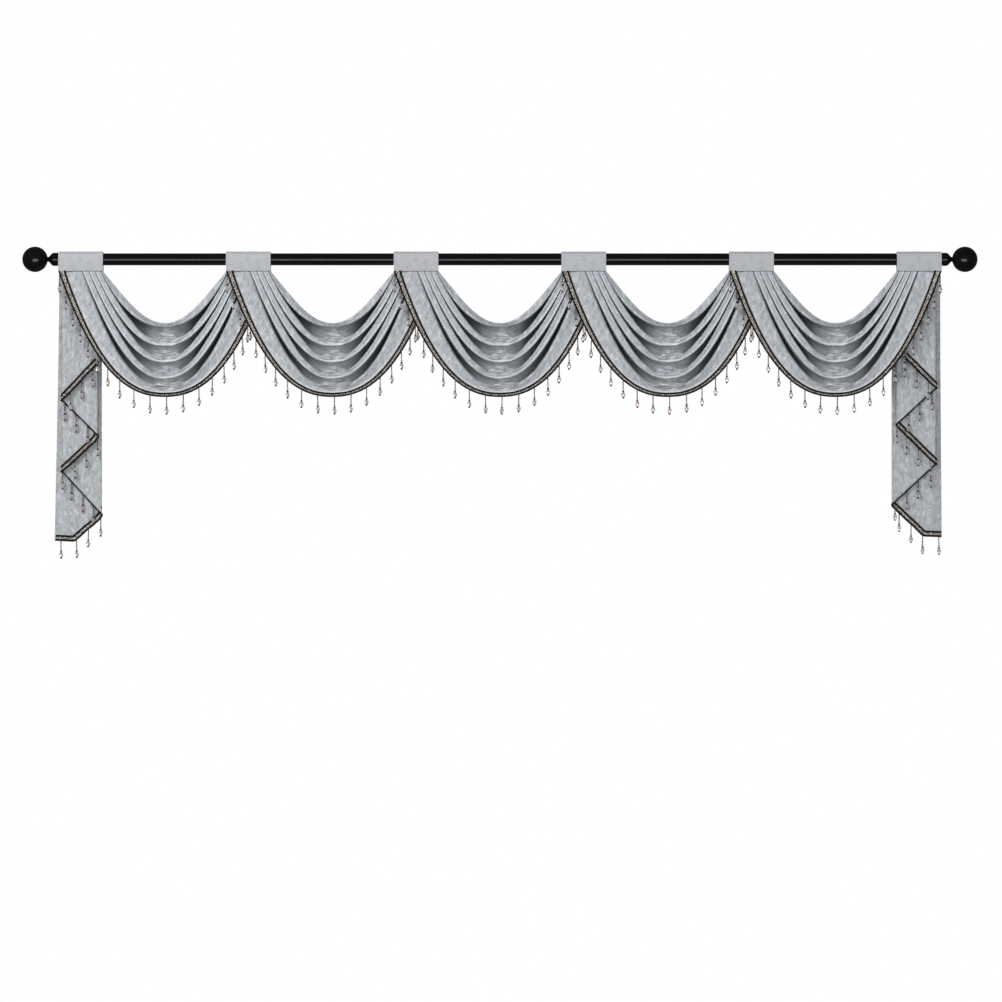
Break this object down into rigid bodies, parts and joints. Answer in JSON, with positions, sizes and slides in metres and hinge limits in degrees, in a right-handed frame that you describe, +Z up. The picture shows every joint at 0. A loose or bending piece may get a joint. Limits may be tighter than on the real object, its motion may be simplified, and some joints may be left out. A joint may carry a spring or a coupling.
{
  "type": "swag and tail drape on a curtain pole",
  "caption": "Window valance of overlapping pleated swags with cascade tails at both ends, bead-drop trim, hung by cloth tabs from a gloss black pole with ball finials.",
  "frame": {"origin": "on the pole's axis, halfway along it", "axes": "+X along the pole to the right as seen from the room, +Z up, -Y towards the room"},
  "size_m": [2.7038, 0.0741, 0.8864],
  "materials": {
    "pole_paint": "gloss black enamel",
    "velvet": "silver grey velvet, soft sheen",
    "bead_braid": "plaited beige braid with black edges",
    "bead_glass": "clear, smoke and pale pink faceted beads"
  },
  "bodies": {
    "root": {"pole": "pole_paint", "finial_left": "pole_paint", "finial_right": "pole_paint", "tab_1": "velvet", "tab_2": "velvet", "tab_3": "velvet", "tab_4": "velvet", "tab_5": "velvet", "tab_6": "velvet", "swag_1": "velvet", "swag_2": "velvet", "swag_3": "velvet", "swag_4": "velvet", "swag_5": "velvet", "tail_left": "velvet", "tail_right": "velvet", "swag_trim_1": "bead_braid", "swag_trim_2": "bead_braid", "swag_trim_3": "bead_braid", "swag_trim_4": "bead_braid", "swag_trim_5": "bead_braid", "tail_trim_left": "bead_braid", "tail_trim_right": "bead_braid"}
  },
  "joints": []
}
